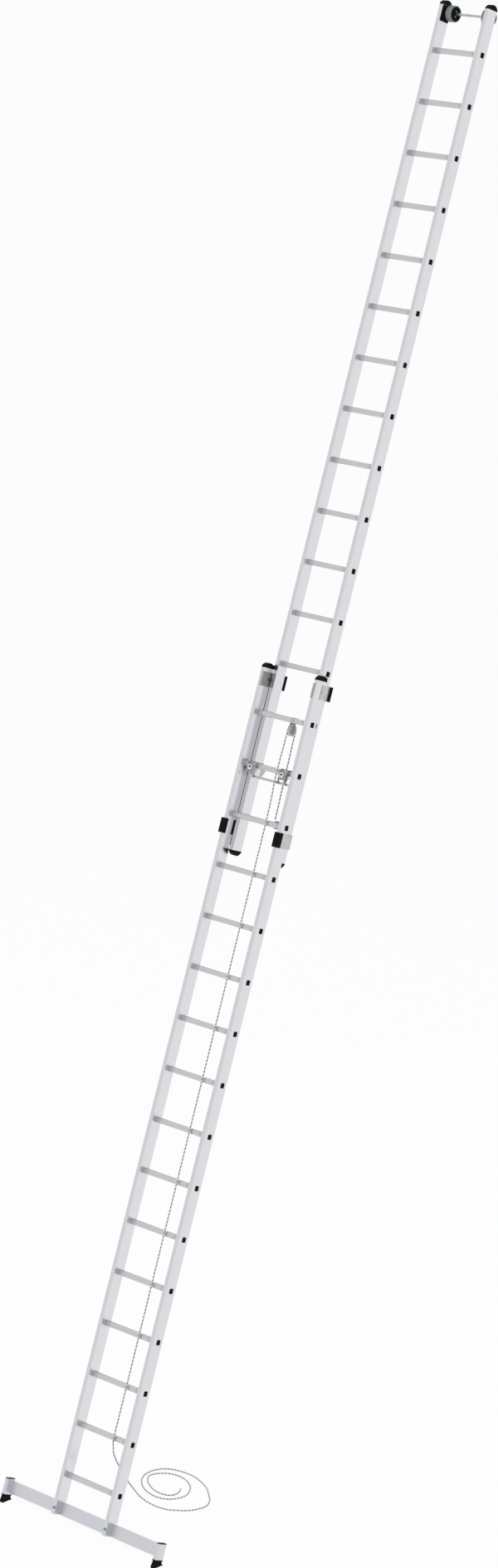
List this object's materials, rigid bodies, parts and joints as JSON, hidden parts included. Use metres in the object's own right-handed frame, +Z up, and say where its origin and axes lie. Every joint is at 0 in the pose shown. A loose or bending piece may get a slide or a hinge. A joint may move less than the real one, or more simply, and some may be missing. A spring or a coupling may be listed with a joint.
{
  "type": "extension ladder",
  "caption": "Leaning aluminium ladder whose upper section slides up the lower one, with a rung latch, hoisting rope, wall wheels and a wide cross foot.",
  "frame": {"origin": "on the floor, midway between the soles of the two feet", "axes": "+X to the right of someone facing the ladder, +Y to the wall it leans on, +Z up; the rails lean 70 degrees from the floor towards +Y"},
  "size_m": [1.203, 3.0152, 7.8506],
  "materials": {
    "extrusion": "bright mill finish, drawn lengthwise",
    "rung": "satin with fine grooves on the tread",
    "black_plastic": "moulded, satin",
    "slider_plastic": "moulded, satin",
    "foot_rubber": "matt",
    "tyre_rubber": "matt",
    "rope": "laid rope with dark flecks",
    "sheave_plastic": "moulded",
    "spring_steel": "oiled wire",
    "zinc_steel": "zinc plated"
  },
  "bodies": {
    "lower": {"lower_rail_left": "extrusion", "lower_rail_right": "extrusion", "lower_rungs": "rung", "lower_rung_plugs": "black_plastic", "lower_cap_left": "black_plastic", "lower_cap_right": "black_plastic", "lower_guide_left": "zinc_steel", "lower_guide_right": "zinc_steel", "lower_slider_left": "slider_plastic", "lower_slider_right": "slider_plastic", "lower_clip_left": "zinc_steel", "lower_clip_right": "zinc_steel", "lower_guide_bolts": "zinc_steel", "traverse": "extrusion", "traverse_end_left": "extrusion", "traverse_end_right": "extrusion", "traverse_end_cap_left": "black_plastic", "traverse_end_cap_right": "black_plastic", "foot_left": "foot_rubber", "foot_right": "foot_rubber", "traverse_bolts": "zinc_steel", "pulley_hanger": "zinc_steel", "pulley_yoke": "zinc_steel", "pulley_pin": "zinc_steel", "hoist_rope": "rope", "pull_rope": "rope"},
    "upper": {"upper_rail_left": "extrusion", "upper_rail_right": "extrusion", "upper_rungs": "rung", "upper_rung_plugs": "black_plastic", "upper_cap_left": "black_plastic", "upper_cap_right": "black_plastic", "upper_end_cap_left": "black_plastic", "upper_end_cap_right": "black_plastic", "upper_guide_left": "zinc_steel", "upper_guide_right": "zinc_steel", "upper_slider_left": "slider_plastic", "upper_slider_right": "slider_plastic", "upper_guide_rivets": "zinc_steel", "wheel_bracket_left": "black_plastic", "wheel_bracket_right": "black_plastic", "wheel_axle": "zinc_steel", "latch_bracket_left": "zinc_steel", "latch_bracket_right": "zinc_steel", "latch_pins": "zinc_steel", "latch_springs": "spring_steel", "rope_knot": "rope"},
    "latch": {"latch_hook_left": "zinc_steel", "latch_hook_right": "zinc_steel", "latch_link_bar": "zinc_steel"},
    "wheel_left": {"wheel_hub_left": "black_plastic", "wheel_tyre_left": "tyre_rubber"},
    "wheel_right": {"wheel_hub_right": "black_plastic", "wheel_tyre_right": "tyre_rubber"},
    "sheave": {"pulley_sheave": "sheave_plastic"}
  },
  "joints": [
    {"name": "upper_slide", "type": "slide", "parent": "lower", "child": "upper", "axis": [0, 0.342, 0.9397], "range_m": [-3.64, 0], "deforming": ["hoist_rope"]},
    {"name": "latch_pivot", "type": "hinge", "parent": "upper", "child": "latch", "pos_m": [0, 1.46766, 3.92272], "axis": [-1, 0, 0], "range_deg": [0, 70], "stiffness_Nm_per_rad": 0.25, "springref_deg": -45.84, "deforming": ["pull_rope"]},
    {"name": "wheel_left_spin", "type": "hinge", "parent": "upper", "child": "wheel_left", "pos_m": [-0.1275, 2.93616, 7.77903], "axis": [1, 0, 0], "continuous": true},
    {"name": "wheel_right_spin", "type": "hinge", "parent": "upper", "child": "wheel_right", "pos_m": [0.1275, 2.93616, 7.77903], "axis": [1, 0, 0], "continuous": true},
    {"name": "sheave_spin", "type": "hinge", "parent": "lower", "child": "sheave", "pos_m": [0.076, 1.51356, 4.13801], "axis": [0.9397, -0.3214, 0.117], "continuous": true}
  ],
  "couplings": [
    {"joint": "sheave_spin", "follows": "upper_slide", "rad_per_m": 43.478}
  ]
}
